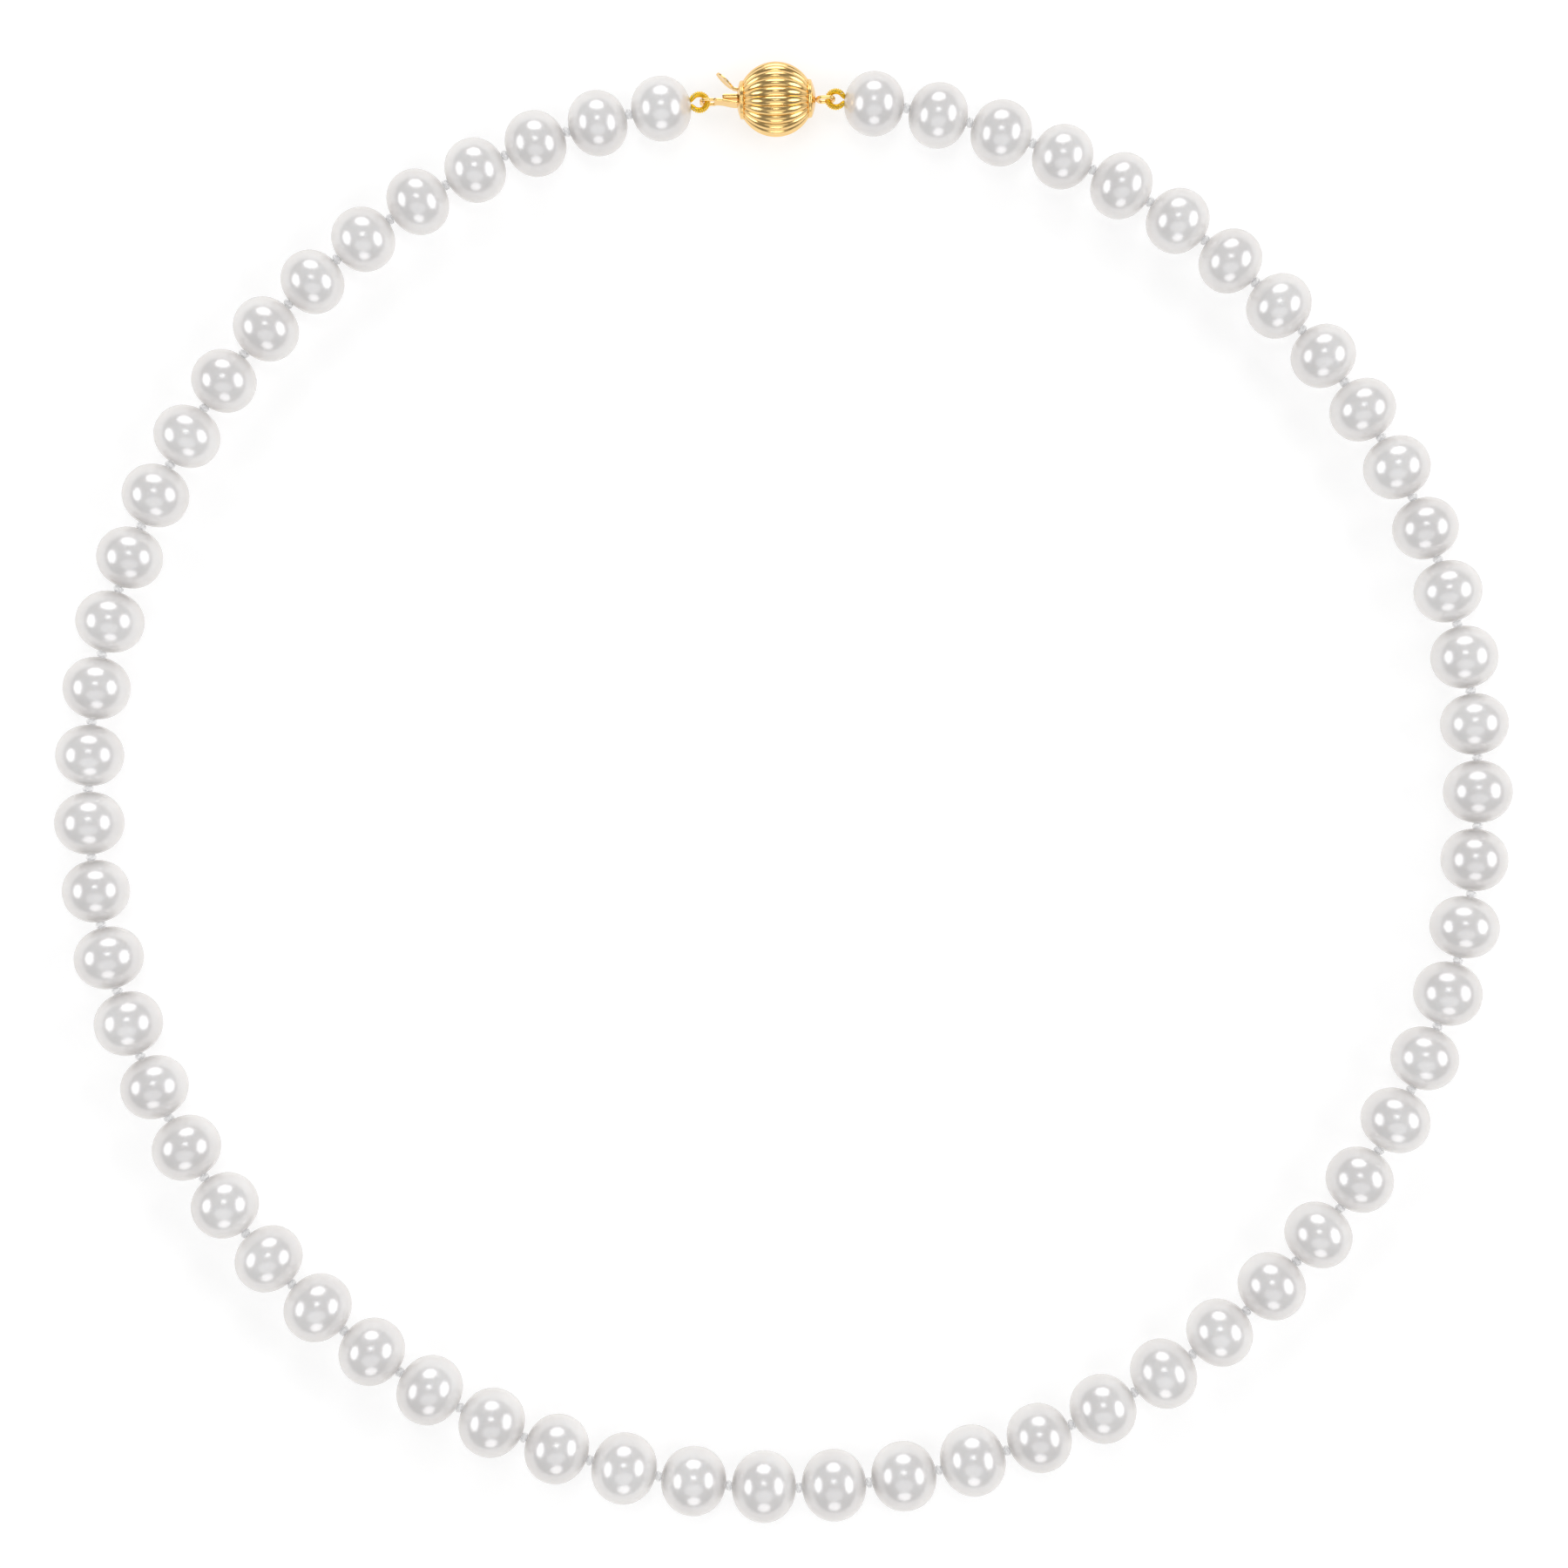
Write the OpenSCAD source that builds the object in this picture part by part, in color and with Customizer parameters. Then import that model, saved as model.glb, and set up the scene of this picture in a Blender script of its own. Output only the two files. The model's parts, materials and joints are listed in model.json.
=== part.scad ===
// Knotted pearl necklace with a fluted ball clasp, closed and lying on the plane z = 0.
// The loop's centre is on the Z axis, the clasp is at +Y, and the right-hand side is +X.

/* [Pearls] */
// Pearls on each side of the clasp, one more than a multiple of three
side_pearls = 31; // [22:3:31]
// Length along the thread of the pearls beside the clasp
end_pearl_length = 6.2; // [5.2:0.05:7.6]
// Length along the thread of the pearls at the middle of the strand
middle_pearl_length = 6.78; // [5.6:0.05:8.2]
// Width across the thread of the pearls beside the clasp
end_pearl_width = 7; // [5.8:0.05:8.4]
// Width across the thread of the pearls at the middle of the strand
middle_pearl_width = 7.55; // [6.2:0.05:9]
// How far a pearl's length strays from the even graduation
length_stray = 0.08; // [0:0.01:0.1]
// How far a pearl's width strays from the even graduation
width_stray = 0.12; // [0:0.01:0.15]
// Diameter of the drill hole
bore_d = 0.9; // [0.75:0.05:1.1]
// Diameter of the flat that is worn around each end of the drill hole
mouth_d = 1.5; // [1.3:0.05:2]

/* [Silk] */
// Diameter of the thread
thread_d = 0.6; // [0.4:0.05:0.65]
// Room that a knot makes between two pearls
knot_gap = 0.64; // [0.5:0.02:0.9]
// Width of a knot
knot_d = 1; // [0.8:0.05:1.1]
// Diameter of each of the two strands of the loop at the clasp
loop_strand_d = 0.32; // [0.2:0.02:0.36]

/* [French wire] */
// Diameter of the circle that the French wire follows
gimp_loop_d = 1.68; // [1.6:0.02:1.9]
// Outer diameter of the coiled wire
gimp_d = 0.66; // [0.56:0.02:0.68]
// Diameter of the hollow inside the coil
gimp_hollow_d = 0.4; // [0.38:0.02:0.44]
// Half of the angle that the loop leaves open toward the pearl
gimp_opening = 44; // [40:1:60]

/* [Ball clasp] */
// Outer diameter of the ball
ball_d = 7.9; // [6.8:0.1:9.5]
// Wall of the ball
ball_wall = 0.5; // [0.4:0.05:0.6]
// Flutes around the ball
flutes = 22; // [16:1:24]
// Diameter of the round groove of a flute
flute_d = 0.56; // [0.4:0.02:0.56]
// Height of each domed end cap
cap_height = 0.73; // [0.6:0.01:0.9]
// Diameter of each domed end cap
cap_d = 4.07; // [3.9:0.01:4.6]
// Distance between the two eyes that the silk goes through
eye_spacing = 13.8; // [13.6:0.1:14.4]
// Turn of the whole clasp about the strand
clasp_roll = 15; // [0:1:25]
// Wire of the ring on the ball
ring_wire_d = 0.4; // [0.3:0.02:0.42]

/* [Tongue] */
// Thickness of the tongue
tongue_thick = 0.3; // [0.2:0.02:0.32]
// Width of the tongue and of the spring leaf
tongue_width = 1.5; // [1.1:0.05:1.6]
// Thickness of the spring leaf and of the thumb tab
leaf_thick = 0.25; // [0.16:0.01:0.27]
// Width of the neck that carries the thumb tab
neck_width = 0.6; // [0.4:0.05:0.7]
// Length of the thumb tab
tab_length = 2.3; // [1.8:0.1:2.6]
// Width of the thumb tab
tab_width = 1.7; // [1.2:0.1:2]

/* [Hidden] */
$fn = 48;
segment_pearls = 3;
segments = (side_pearls - 1) / segment_pearls;
sides = ["right", "left"];

// Colours
nacre = "#E9E7E3";
silk_white = "#E2E2E6";
gold = "#E3BE6A";
bright_gold = "#F2CC30";

// Clearances
slide_gap = 0.12;
seat_gap = 0.02;
turn_gap = 0.06;

// ---- Strand: pearl 1 is beside the clasp, and knot k is on the far side of pearl k ----

stray_turn = 137.5;
function graded(a, b, k) = a + (b - a) * (k - 1) / (side_pearls - 1);
function pearl_length(k) =
    graded(end_pearl_length, middle_pearl_length, k) + length_stray * sin(stray_turn * k);
function pearl_width(k) =
    graded(end_pearl_width, middle_pearl_width, k) + width_stray * cos(stray_turn * k);
function pitch(k) = pearl_length(k) + knot_gap;

// The strand's first point is where the silk leaves the clasp's French wire.
eye_x = eye_spacing / 2;
gimp_shift = 0.25;
first_x = eye_x + gimp_shift + 0.6;

// The loop's radius, at which every pearl is a chord and the two sides meet at the bottom
function half_turn(r, k = 1) =
    k > side_pearls ? asin(first_x / r) : 2 * asin(pitch(k) / 2 / r) + half_turn(r, k + 1);
function settled_radius(r, tries) =
    tries == 0 ? r : settled_radius(r * half_turn(r) / 180, tries - 1);
loop_r = settled_radius(side_pearls * (middle_pearl_length + knot_gap) / PI, 12);

knot_angles = [for (k = 0, a = asin(first_x / loop_r);
                    k <= side_pearls;
                    k = k + 1, a = a + 2 * asin(pitch(k) / 2 / loop_r)) a];
function knot_xy(k) = loop_r * [sin(knot_angles[k]), cos(knot_angles[k])];
function pearl_xy(k) = (knot_xy(k - 1) + knot_xy(k)) / 2;
function heading(k) = let (d = knot_xy(k - 1) - knot_xy(k)) atan2(d.y, d.x);

// The clasp's axis is higher than the pearls' centres, and the first pearls are lifted toward it.
ball_rise = 0.15;
clasp_y = knot_xy(0).y;
clasp_z = ball_d / 2 + ball_rise * sin(clasp_roll);
lift_left = 0.3;
function pearl_z(k) =
    pearl_width(k) / 2 + max(0, clasp_z - end_pearl_width / 2) * pow(lift_left, k - 0.3);
function knot_z(k) = (pearl_z(k) + pearl_z(min(k + 1, side_pearls))) / 2;
function point_on(k, along, across = 0) =
    let (a = heading(k), p = pearl_xy(k))
    [p.x + along * cos(a) - across * sin(a), p.y + along * sin(a) + across * cos(a), pearl_z(k)];

// Puts children at pearl k, with their Z axis along the thread toward the clasp.
module on_thread(k) {
    translate(point_on(k, 0)) rotate(heading(k)) rotate([0, 90, 0]) children();
}

// The right side as it is, or its mirror image for the left side.
module on_side(side) {
    if (side == "left") mirror([1, 0, 0]) children();
    else children();
}

module pearl(k) {
    half = pearl_length(k) / 2;
    reach = (pearl_width(k) - mouth_d) / 2;
    skin_r = (half * half + reach * reach) / (2 * reach);
    rotate_extrude() intersection() {
        translate([pearl_width(k) / 2 - skin_r, 0]) circle(skin_r);
        translate([bore_d / 2, -half]) square([pearl_width(k), 2 * half]);
    }
}

module pearl_row(first, last) {
    for (k = [first:last]) on_thread(k) pearl(k);
}

// How far the thread reaches past a hinge knot into the next pearl, and where that pearl's own thread starts
stub_length = 0.16;
stub_reach = knot_gap / 2 + stub_length;
thread_start = stub_reach + turn_gap;
knot_length = 0.78 * knot_gap;

module thread(k, from_clasp_side, from_far_side) {
    on_thread(k) translate([0, 0, from_far_side - pitch(k) / 2])
        cylinder(d = thread_d, h = pitch(k) - from_far_side - from_clasp_side);
}

module knot(k) {
    translate([knot_xy(k).x, knot_xy(k).y, knot_z(k)]) rotate(90 - knot_angles[k]) rotate([90, 0, 0])
        intersection() {
            sphere(d = knot_d);
            cube([2 * knot_d, 2 * knot_d, knot_length], center = true);
        }
}

module rod(p, q, d) {
    v = q - p;
    translate(p) rotate([0, acos(v.z / norm(v)), atan2(v.y, v.x)]) cylinder(d = d, h = norm(v));
}

// ---- Silk loop and French wire at the eye, in plan ----

gimp_at = [eye_x + gimp_shift, clasp_y, clasp_z];
mouth_at = point_on(1, pearl_length(1) / 2);
gimp_heading = atan2(mouth_at.y - gimp_at.y, mouth_at.x - gimp_at.x);

module gimp_arc(d, hollow_d) {
    translate(gimp_at) rotate(gimp_heading + gimp_opening)
        rotate_extrude(angle = 360 - 2 * gimp_opening)
            translate([gimp_loop_d / 2, 0]) difference() {
                circle(d = d);
                if (hollow_d > 0) circle(d = hollow_d);
            }
}

// Where the two strands of the loop join the thread, in a splice inside the first pearl's bore
join_depth = 0.5;
splice_d = thread_d + 0.14;
module loop_strand(hand) {
    turn = gimp_heading + hand * gimp_opening;
    leaves = gimp_at + gimp_loop_d / 2 * [cos(turn), sin(turn), 0];
    side = (bore_d - loop_strand_d) / 2 - turn_gap;
    enters = point_on(1, pearl_length(1) / 2, hand * side);
    joins = point_on(1, pearl_length(1) / 2 - join_depth, hand * (loop_strand_d / 2 + 0.01));
    rod(leaves, enters, loop_strand_d);
    rod(enters, joins, loop_strand_d);
    for (p = [leaves, enters]) translate(p) rotate([0, 90, heading(1)]) sphere(d = 1.12 * loop_strand_d);
}

module silk_loop() {
    gimp_arc(loop_strand_d, 0);
    loop_strand(1);
    loop_strand(-1);
    on_thread(1) translate([0, 0, pearl_length(1) / 2 - join_depth])
        cylinder(d = splice_d, h = splice_d, center = true);
}

// ---- Segments of the strand, numbered from the clasp ----

module pearls_segment(side, j) {
    color(nacre) on_side(side) pearl_row(segment_pearls * (j - 1) + 1, segment_pearls * j);
}

module silk_segment(side, j) {
    first = segment_pearls * (j - 1) + 1;
    last = segment_pearls * j;
    color(silk_white) on_side(side) {
        for (k = [first:last])
            thread(k, k == 1 ? knot_gap / 2 + join_depth : 0, k == last ? thread_start : 0);
        for (k = [max(first - 1, 1):last - 1]) knot(k);
        if (j == 1) silk_loop();
        else thread(first - 1, pitch(first - 1) - stub_reach, 0);
    }
}

module pearls_centre() {
    color(nacre) for (side = sides) on_side(side) pearl_row(side_pearls, side_pearls);
}

module silk_centre() {
    color(silk_white) {
        for (side = sides) on_side(side) {
            thread(side_pearls, 0, 0);
            knot(side_pearls - 1);
            thread(side_pearls - 1, pitch(side_pearls - 1) - stub_reach, 0);
        }
        knot(side_pearls);
    }
}

module french_wire(side) {
    color(bright_gold) on_side(side) gimp_arc(gimp_d, gimp_hollow_d);
}

// ---- Clasp, in its own frame: X along the strand, and the eyes on the X axis ----

module clasp_frame() {
    translate([0, clasp_y, clasp_z]) rotate([-clasp_roll, 0, 0]) children();
}

// The tongue's line in that frame: the tail, the fold inside the ball, and the leaf that comes back
tail_y = -0.37;
fold_r = 0.3;
fold_at = [2, tail_y + fold_r];
leaf_end = [-2.2, 1.13];
function unit(v) = v / norm(v);
to_leaf_end = leaf_end - fold_at;
leaf_turn = atan2(to_leaf_end.y, to_leaf_end.x) - acos(fold_r / norm(to_leaf_end));
leaf_start = fold_at + fold_r * [cos(leaf_turn), sin(leaf_turn)];
leaf_way = unit(leaf_end - leaf_start);

// Puts children on the ball's axis, with their Z axis along +X.
ball_x = 0.87;
module on_ball() {
    translate([ball_x, ball_rise, 0]) rotate([0, 90, 0]) children();
}

ball_r = ball_d / 2;
cap_rim = 0.25;
spigot_d = 3.3;
spigot_length = 0.32;
cap_overhang = 0.15;
ball_half = sqrt(ball_r * ball_r - pow(cap_d / 2 - cap_overhang, 2));

module fluted_ball() {
    groove_r = ball_r + 0.1;
    groove_sweep = 2 * asin(ball_half / groove_r) + 4;
    color(gold) clasp_frame() on_ball() difference() {
        intersection() {
            sphere(r = ball_r);
            cylinder(r = ball_d, h = 2 * ball_half, center = true);
        }
        sphere(r = ball_r - ball_wall);
        cylinder(d = spigot_d + 2 * seat_gap, h = ball_d, center = true);
        for (i = [0:flutes - 1]) rotate((i + 0.5) * 360 / flutes) rotate([90, 0, 0])
            rotate(-groove_sweep / 2) rotate_extrude(angle = groove_sweep)
                translate([groove_r, 0]) circle(d = flute_d);
    }
}

// A domed cap with a flat in the middle for the ring, and a spigot that fits inside the ball's end
flat_d = 0.6;
module cap() {
    rise = cap_height - cap_rim;
    dome_r = (rise * rise + cap_d * cap_d / 4) / (2 * rise);
    translate([0, 0, ball_half]) {
        rotate_extrude() intersection() {
            translate([0, cap_height - dome_r]) circle(dome_r, $fn = 96);
            square([cap_d / 2, cap_height - 0.01]);
        }
        translate([0, 0, -spigot_length]) cylinder(d = spigot_d, h = spigot_length);
    }
}

module end_cap() {
    color(gold) clasp_frame() on_ball() cap();
}

// The mouth: a wide slot for the folded tongue, and a narrow notch above it for the tab's neck
mouth_x = ball_x - ball_half + spigot_length;
mouth_low = tail_y - tongue_thick / 2 - slide_gap;
catch_height = 0.16;
neck_room = 0.49;
mouth_high = leaf_end.y - catch_height;
notch_high = leaf_end.y + neck_room;
module mouth_cap() {
    slot = tongue_width + 2 * slide_gap;
    notch = neck_width + 2 * slide_gap;
    depth = spigot_length + cap_height + 2;
    color(gold) clasp_frame() difference() {
        translate([2 * ball_x, 0, 0]) mirror([1, 0, 0]) on_ball() cap();
        translate([mouth_x + 1 - depth, mouth_low, -slot / 2]) cube([depth, mouth_high - mouth_low, slot]);
        translate([mouth_x + 1 - depth, mouth_low, -notch / 2]) cube([depth, notch_high - mouth_low, notch]);
    }
}

// A flat wire ring, from the end cap's dome to the eye
eye_hole = 0.9;
corner_r = 0.3;
module ball_ring() {
    dome_x = ball_x + ball_half + cap_height - 0.01;
    from_x = dome_x + ring_wire_d / 2;
    half = (eye_hole + ring_wire_d) / 2;
    color(gold) clasp_frame() rotate([90, 0, 0]) {
        for (end = [[from_x + corner_r, 90], [eye_x - corner_r, 0]]) for (hand = [0, 1])
            mirror([0, hand, 0]) translate([end[0], half - corner_r, 0]) rotate(end[1])
                rotate_extrude(angle = 90) translate([corner_r, 0]) circle(d = ring_wire_d);
        for (hand = [-1, 1])
            rod([from_x + corner_r, hand * half, 0], [eye_x - corner_r, hand * half, 0], ring_wire_d);
        for (x = [from_x, eye_x])
            rod([x, corner_r - half, 0], [x, half - corner_r, 0], ring_wire_d);
    }
}

// A strip of metal along a path in the clasp's X-Y plane, centred on z = 0
function left_of(v) = [-v.y, v.x];
function bisector(path, i) =
    let (before = unit(path[max(i, 1)] - path[max(i, 1) - 1]),
         last = len(path) - 1,
         after = unit(path[min(i, last - 1) + 1] - path[min(i, last - 1)]),
         mean = unit(before + after))
    left_of(mean) / (mean * after);
module ribbon(path, thick, width) {
    edge = [for (i = [0:len(path) - 1]) bisector(path, i) * thick / 2];
    linear_extrude(width, center = true)
        polygon(concat(path + edge, [for (i = [len(path) - 1:-1:0]) path[i] - edge[i]]));
}
function arc(centre, r, from, to, steps) =
    [for (i = [0:steps])
        let (a = from + (to - from) * i / steps) centre + r * [cos(a), sin(a)]];

// The tongue: eye, tail, and the fold at the far end of it, inside the ball
eye_plate_end = -5.3;
tail_from = -3.4;
module tongue() {
    hole_from = -eye_x + ring_wire_d / 2;
    hole_to = hole_from + 1.1;
    plate = eye_hole + 2 * ring_wire_d;
    tail = [[eye_plate_end - 0.1, 0], [eye_plate_end, 0], [tail_from, tail_y]];
    fold = arc(fold_at, fold_r, -90, leaf_turn, 10);
    color(gold) clasp_frame() {
        ribbon(concat(tail, fold), tongue_thick, tongue_width);
        difference() {
            translate([-eye_x, -tongue_thick / 2, -plate / 2])
                cube([eye_x + eye_plate_end, tongue_thick, plate]);
            translate([hole_from, -tongue_thick, -eye_hole / 2])
                cube([hole_to - hole_from, 2 * tongue_thick, eye_hole]);
        }
        translate([-eye_x, 0, 0]) cylinder(d = ring_wire_d, h = plate, center = true);
    }
}

// The spring leaf: from the fold up to the mouth, where its end catches behind the cap
module spring_leaf() {
    color(gold) clasp_frame()
        ribbon([leaf_start + turn_gap * leaf_way, leaf_end], leaf_thick, tongue_width);
}

// The thumb tab: an oval plate on a neck that comes out through the notch
module thumb_tab() {
    tab_rise = 135;
    tab_way = [cos(tab_rise), sin(tab_rise)];
    neck_reach = 1.15;
    neck_foot = leaf_end + neck_reach * leaf_way;
    neck_lap = 0.3;
    bend_r = 0.5;
    leaf_rise = atan2(leaf_way.y, leaf_way.x);
    bend = arc(neck_foot - bend_r * left_of(leaf_way), bend_r, leaf_rise + 90, tab_rise + 90, 5);
    tab_foot = bend[len(bend) - 1];
    oval_r = (tab_length * tab_length + tab_width * tab_width) / (4 * tab_width);
    end_at = 0.36 * tab_length;
    end_r = 0.2 * tab_width;
    color(gold) clasp_frame() {
        ribbon(concat([leaf_end], bend, [tab_foot + neck_lap * tab_way]), leaf_thick, neck_width);
        translate([tab_foot.x, tab_foot.y, 0] + (tab_length / 2) * [tab_way.x, tab_way.y, 0])
            rotate(tab_rise) rotate([90, 0, 0]) linear_extrude(leaf_thick, center = true)
                union() {
                    intersection_for(hand = [-1, 1])
                        translate([0, hand * (oval_r - tab_width / 2)]) circle(oval_r, $fn = 96);
                    for (hand = [-1, 1]) translate([hand * end_at, 0]) circle(end_r);
                }
    }
}

// The safety hook: a strip that is soldered on the tail, with a rolled outer end
module safety_hook() {
    thick = 0.22;
    low = tail_y + tongue_thick / 2 + thick / 2;
    high = low + 0.41;
    solder = [0.8, -0.2];
    raised_from = -1.6;
    roll_r = 0.2;
    roll_at = [-4.35, high + roll_r];
    color(gold) clasp_frame()
        ribbon(concat([[solder[0], low], [solder[1], low], [raised_from, high]], arc(roll_at, roll_r, 270, 60, 10)),
               thick, tongue_width - 0.2);
}

pearls_centre();
silk_centre();
for (side = sides) {
    for (j = [1:segments]) {
        pearls_segment(side, j);
        silk_segment(side, j);
    }
    french_wire(side);
}
fluted_ball();
mouth_cap();
end_cap();
ball_ring();
tongue();
safety_hook();
spring_leaf();
thumb_tab();
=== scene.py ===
"""Knotted pearl necklace with a fluted ball clasp, dressed over its CAD frame.

Lengths are in metres. Sizes and places come from the frame's own nodes and joints, so every piece
lies where the frame has it.
"""

import json
from math import pi, radians

import bmesh
import bpy
import numpy as np
from bpy.props import FloatProperty, FloatVectorProperty, IntProperty, PointerProperty
from bpy.types import Operator, Panel, PropertyGroup
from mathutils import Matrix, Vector


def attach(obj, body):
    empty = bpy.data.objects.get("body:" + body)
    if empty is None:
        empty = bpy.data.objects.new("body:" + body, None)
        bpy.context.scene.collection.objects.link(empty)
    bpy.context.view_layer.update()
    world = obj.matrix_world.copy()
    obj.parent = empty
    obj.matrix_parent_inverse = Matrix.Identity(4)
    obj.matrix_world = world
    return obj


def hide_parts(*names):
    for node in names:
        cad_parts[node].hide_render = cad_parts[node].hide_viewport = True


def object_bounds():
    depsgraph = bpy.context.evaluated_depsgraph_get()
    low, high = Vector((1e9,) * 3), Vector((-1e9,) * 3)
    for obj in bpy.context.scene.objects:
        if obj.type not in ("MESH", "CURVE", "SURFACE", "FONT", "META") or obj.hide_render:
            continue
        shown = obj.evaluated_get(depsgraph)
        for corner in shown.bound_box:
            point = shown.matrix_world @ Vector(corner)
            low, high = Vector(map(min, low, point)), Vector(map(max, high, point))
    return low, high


bl_info = {
    "name": "Knotted pearl necklace",
    "version": (1, 0, 0),
    "blender": (4, 5, 0),
    "location": "3D View > Sidebar > Necklace",
    "description": "Pearls, knotted silk, French wire and ball clasp over a CAD frame",
    "category": "Add Mesh",
}

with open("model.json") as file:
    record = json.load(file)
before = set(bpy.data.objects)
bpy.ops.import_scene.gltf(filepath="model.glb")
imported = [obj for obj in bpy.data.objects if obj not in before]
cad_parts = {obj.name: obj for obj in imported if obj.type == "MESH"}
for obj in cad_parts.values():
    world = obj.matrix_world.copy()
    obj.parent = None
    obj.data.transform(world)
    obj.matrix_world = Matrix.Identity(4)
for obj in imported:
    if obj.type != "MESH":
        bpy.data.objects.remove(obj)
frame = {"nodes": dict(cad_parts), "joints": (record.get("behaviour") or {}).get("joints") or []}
CAD_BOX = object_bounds()
MM = 0.001
SIDES = ("right", "left")
ROW_PEARLS = 3
SEED = 7
FAR = 2.5  # distance of the softboxes


def linear(hex_colour):
    """The linear RGB triple of an sRGB hex colour."""
    srgb = np.array([int(hex_colour[i:i + 2], 16) for i in (1, 3, 5)]) / 255
    return tuple(np.where(srgb <= 0.04045, srgb / 12.92, ((srgb + 0.055) / 1.055) ** 2.4))


# ---------------------------------------------------------------- reading the frame

def joint(name):
    """The frame's joint of that name."""
    return next(j for j in frame["joints"] if j["name"] == name)


def unit(vectors):
    """Vectors divided by their own lengths."""
    vectors = np.asarray(vectors, float)
    return vectors / np.linalg.norm(vectors, axis=-1, keepdims=True)


def beside(way):
    """The flat direction a quarter turn from a flat one, as long as it."""
    return np.array([-way[1], way[0], 0])


def solids(node):
    """Each separate solid of a node, as (corner points, triangles): corners are welded, then every
    corner takes the lowest label among its triangles until nothing changes."""
    mesh = frame["nodes"][node].data
    mesh.calc_loop_triangles()
    corners = np.empty(len(mesh.vertices) * 3)
    mesh.vertices.foreach_get("co", corners)
    triangles = np.empty(len(mesh.loop_triangles) * 3, int)
    mesh.loop_triangles.foreach_get("vertices", triangles)
    points, welded = np.unique(corners.reshape(-1, 3).round(7), axis=0, return_inverse=True)
    triangles = welded.ravel()[triangles].reshape(-1, 3)
    label = np.arange(len(points))
    while True:
        lowest = label[triangles].min(axis=1)
        spread = label.copy()
        for corner in triangles.T:
            np.minimum.at(spread, corner, lowest)
        if (spread == label).all():
            break
        label = spread
    of_triangle = label[triangles[:, 0]]
    return [(points, triangles[of_triangle == one]) for one in np.unique(of_triangle)]


class Pearl:
    """Where one drilled pearl of the frame lies: its centre, the way its drill hole points, half
    its length along that hole, and its radius across it. The hole is the flat direction in which
    the skin's area spreads least."""

    def __init__(self, points, triangles):
        a, b, c = (points[corner] for corner in triangles.T)
        area = np.linalg.norm(np.cross(b - a, c - a), axis=1)
        middles = (a + b + c) / 3
        self.centre = (middles * area[:, None]).sum(0) / area.sum()
        flat = (middles - self.centre)[:, :2]
        spread = (flat * area[:, None]).T @ flat
        hole = np.linalg.eigh(spread)[1][:, 0]
        self.way = np.array([hole[0], hole[1], 0.0])
        if self.way @ beside(self.centre) * self.centre[0] < 0:
            self.way = -self.way
        offset = points[np.unique(triangles)] - self.centre
        along = offset @ self.way
        self.half = abs(along).max()
        self.radius = np.linalg.norm(offset - along[:, None] * self.way, axis=1).max()

    def at(self, along, across=0.0):
        """A point along the hole from the centre, toward the clasp, and across it."""
        return self.centre + along * self.way + across * beside(self.way)


def measured_side(side):
    """The pearls of one side, from the clasp to the middle of the strand."""
    sign = 1 if side == "right" else -1
    nodes = [n for n in frame["nodes"] if n.startswith(f"pearls_{side}")] + ["pearls_centre"]
    pearls = [Pearl(*solid) for node in nodes for solid in solids(node)]
    pearls = [p for p in pearls if p.centre[0] * sign > 0]
    return sorted(pearls, key=lambda p: -p.centre[1])


STRAND = {side: measured_side(side) for side in SIDES}
ROWS = (len(STRAND["right"]) - 1) // ROW_PEARLS


def body_of_pearl(side, k):
    """The frame's body that carries pearl k of a side, counted from 1 at the clasp."""
    row = (k - 1) // ROW_PEARLS + 1
    return "centre" if row > ROWS else f"{side}_{row}"


# The clasp's own frame: its middle is between the two eyes, and its third axis is the one that the
# thumb tab turns on.
EYES = {"right": np.array(joint("ball_eye_turn")["pos_m"]),
        "left": np.array(joint("tongue_eye_turn")["pos_m"])}
CLASP_AT = (EYES["right"] + EYES["left"]) / 2
CLASP_X = unit(EYES["right"] - EYES["left"])
CLASP_Z = unit(joint("thumb_press")["axis"])
CLASP_Y = np.cross(CLASP_Z, CLASP_X)
CLASP_AXES = np.stack([CLASP_X, CLASP_Y, CLASP_Z])
EYE_X = np.linalg.norm(EYES["right"] - EYES["left"]) / 2


def clasp(x, y, z=0.0):
    """Places in the necklace of points that are given in the clasp's frame."""
    x, y, z = np.broadcast_arrays(x, y, z)
    return CLASP_AT + x[..., None] * CLASP_X + y[..., None] * CLASP_Y + z[..., None] * CLASP_Z


def clasp_box(node):
    """The lowest and highest corner of a node in the clasp's frame."""
    mesh = frame["nodes"][node].data
    corners = np.empty(len(mesh.vertices) * 3)
    mesh.vertices.foreach_get("co", corners)
    local = (corners.reshape(-1, 3) - CLASP_AT) @ CLASP_AXES.T
    return local.min(0), local.max(0)


# ---------------------------------------------------------------- shapes

def grid(points, around=True, along=False, ends=False):
    """Corners and faces of a grid of points, rows by columns. around joins the last column to the
    first, along the last row to the first, and ends closes the first and last rows with a face."""
    rows, columns = points.shape[:2]
    index = np.arange(rows * columns).reshape(rows, columns)
    if around:
        index = np.concatenate([index, index[:, :1]], axis=1)
    if along:
        index = np.concatenate([index, index[:1]], axis=0)
    quads = np.stack([index[:-1, :-1], index[:-1, 1:], index[1:, 1:], index[1:, :-1]], axis=-1)
    faces = quads.reshape(-1, 4).tolist()
    if ends:
        faces += [list(range(columns))[::-1], list(range((rows - 1) * columns, rows * columns))]
    return points.reshape(-1, 3), faces


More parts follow.
